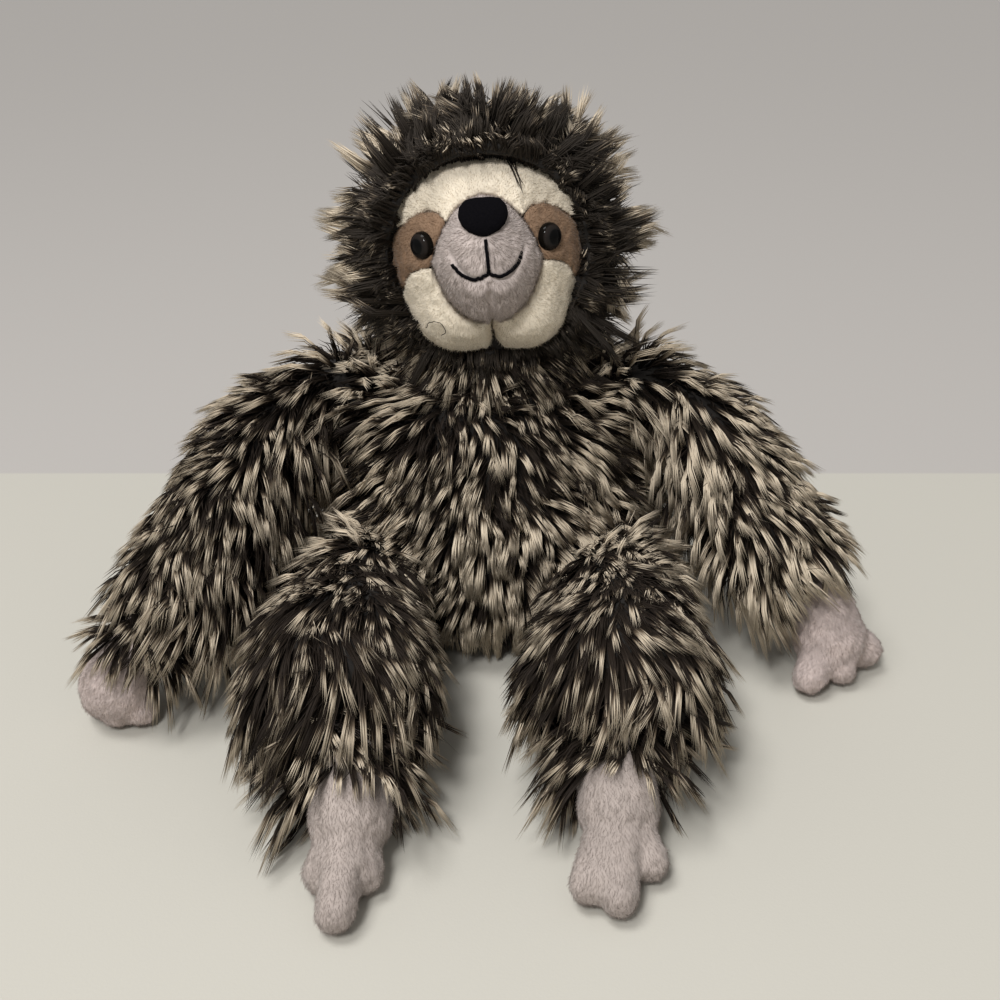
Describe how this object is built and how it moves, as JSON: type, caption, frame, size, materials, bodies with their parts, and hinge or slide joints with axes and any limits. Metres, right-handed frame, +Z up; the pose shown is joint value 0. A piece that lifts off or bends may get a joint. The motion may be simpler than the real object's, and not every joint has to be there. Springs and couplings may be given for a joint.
{
  "type": "plush sloth",
  "caption": "Seated plush sloth with a long-pile fur body, a short-plush face with eye patches, a muzzle and safety eyes, and turning head, arms, legs, paws and feet.",
  "frame": {"origin": "middle of the flat seat that the torso stands on", "axes": "the toy faces -Y, +Z is up, and its own left side is at +X"},
  "size_m": [0.3131, 0.2774, 0.212],
  "materials": {
    "fur_cloth": "long-pile fur cloth, dark at the root and beige at the tips",
    "stuffing": "white polyester fibre filling",
    "pellets": "plastic pellets in a cloth bag",
    "cream_plush": "short cream plush",
    "brown_plush": "short brown plush",
    "muzzle_plush": "short grey-brown plush",
    "paw_plush": "short grey-brown plush",
    "foot_plush": "short light grey-brown plush",
    "black_cloth": "matt black velvet",
    "black_thread": "black sewing thread",
    "eye_plastic": "polished dark brown plastic with a black pupil",
    "washer_plastic": "moulded white plastic"
  },
  "bodies": {
    "torso": {"seat_pellet_bag": "pellets", "torso_fur_cover": "fur_cloth", "torso_stuffing": "stuffing"},
    "neck": {"neck_fur_collar": "fur_cloth"},
    "head": {"cheek_left": "cream_plush", "cheek_right": "cream_plush", "eye_left": "eye_plastic", "eye_patch_left": "brown_plush", "eye_patch_right": "brown_plush", "eye_right": "eye_plastic", "eye_washer_left": "washer_plastic", "eye_washer_right": "washer_plastic", "forehead_panel": "cream_plush", "head_stuffing": "stuffing", "hood_fur_cover": "fur_cloth", "mouth_stitching": "black_thread", "muzzle_cover": "muzzle_plush", "muzzle_stuffing": "stuffing", "nose": "black_cloth"},
    "left_arm": {"left_arm_fur_sleeve": "fur_cloth", "left_arm_stuffing": "stuffing"},
    "left_paw": {"left_paw_cover": "paw_plush", "left_paw_stuffing": "stuffing"},
    "left_leg": {"left_leg_fur_sleeve": "fur_cloth", "left_leg_stuffing": "stuffing"},
    "left_foot": {"left_foot_cover": "foot_plush", "left_foot_stuffing": "stuffing"},
    "right_arm": {"right_arm_fur_sleeve": "fur_cloth", "right_arm_stuffing": "stuffing"},
    "right_paw": {"right_paw_cover": "paw_plush", "right_paw_stuffing": "stuffing"},
    "right_leg": {"right_leg_fur_sleeve": "fur_cloth", "right_leg_stuffing": "stuffing"},
    "right_foot": {"right_foot_cover": "foot_plush", "right_foot_stuffing": "stuffing"}
  },
  "joints": [
    {"name": "neck_nod", "type": "hinge", "parent": "torso", "child": "neck", "pos_m": [0, 0, 0.108], "axis": [1, 0, 0], "range_deg": [-15, 8]},
    {"name": "head_turn", "type": "hinge", "parent": "neck", "child": "head", "pos_m": [0, 0, 0.108], "axis": [0, 0, 1], "range_deg": [-40, 40]},
    {"name": "left_shoulder", "type": "hinge", "parent": "torso", "child": "left_arm", "pos_m": [0.0644, -0.00399, 0.09747], "axis": [-1, 0, 0], "range_deg": [-8, 120]},
    {"name": "left_wrist", "type": "hinge", "parent": "left_arm", "child": "left_paw", "pos_m": [0.13395, -0.05989, 0.0306], "axis": [-1, 0, 0], "range_deg": [-15, 25]},
    {"name": "left_hip", "type": "hinge", "parent": "torso", "child": "left_leg", "pos_m": [0.0504, -0.063, 0.034], "axis": [-1, 0, 0], "range_deg": [-20, 20]},
    {"name": "left_ankle", "type": "hinge", "parent": "left_leg", "child": "left_foot", "pos_m": [0.04336, -0.14396, 0.0245], "axis": [-1, 0, 0], "range_deg": [-25, 25]},
    {"name": "right_shoulder", "type": "hinge", "parent": "torso", "child": "right_arm", "pos_m": [-0.0644, -0.00399, 0.09747], "axis": [-1, 0, 0], "range_deg": [-8, 120]},
    {"name": "right_wrist", "type": "hinge", "parent": "right_arm", "child": "right_paw", "pos_m": [-0.13005, -0.09174, 0.0306], "axis": [-1, 0, 0], "range_deg": [-15, 25]},
    {"name": "right_hip", "type": "hinge", "parent": "torso", "child": "right_leg", "pos_m": [-0.0504, -0.063, 0.034], "axis": [-1, 0, 0], "range_deg": [-20, 20]},
    {"name": "right_ankle", "type": "hinge", "parent": "right_leg", "child": "right_foot", "pos_m": [-0.04644, -0.14704, 0.0245], "axis": [-1, 0, 0], "range_deg": [-25, 25]}
  ]
}
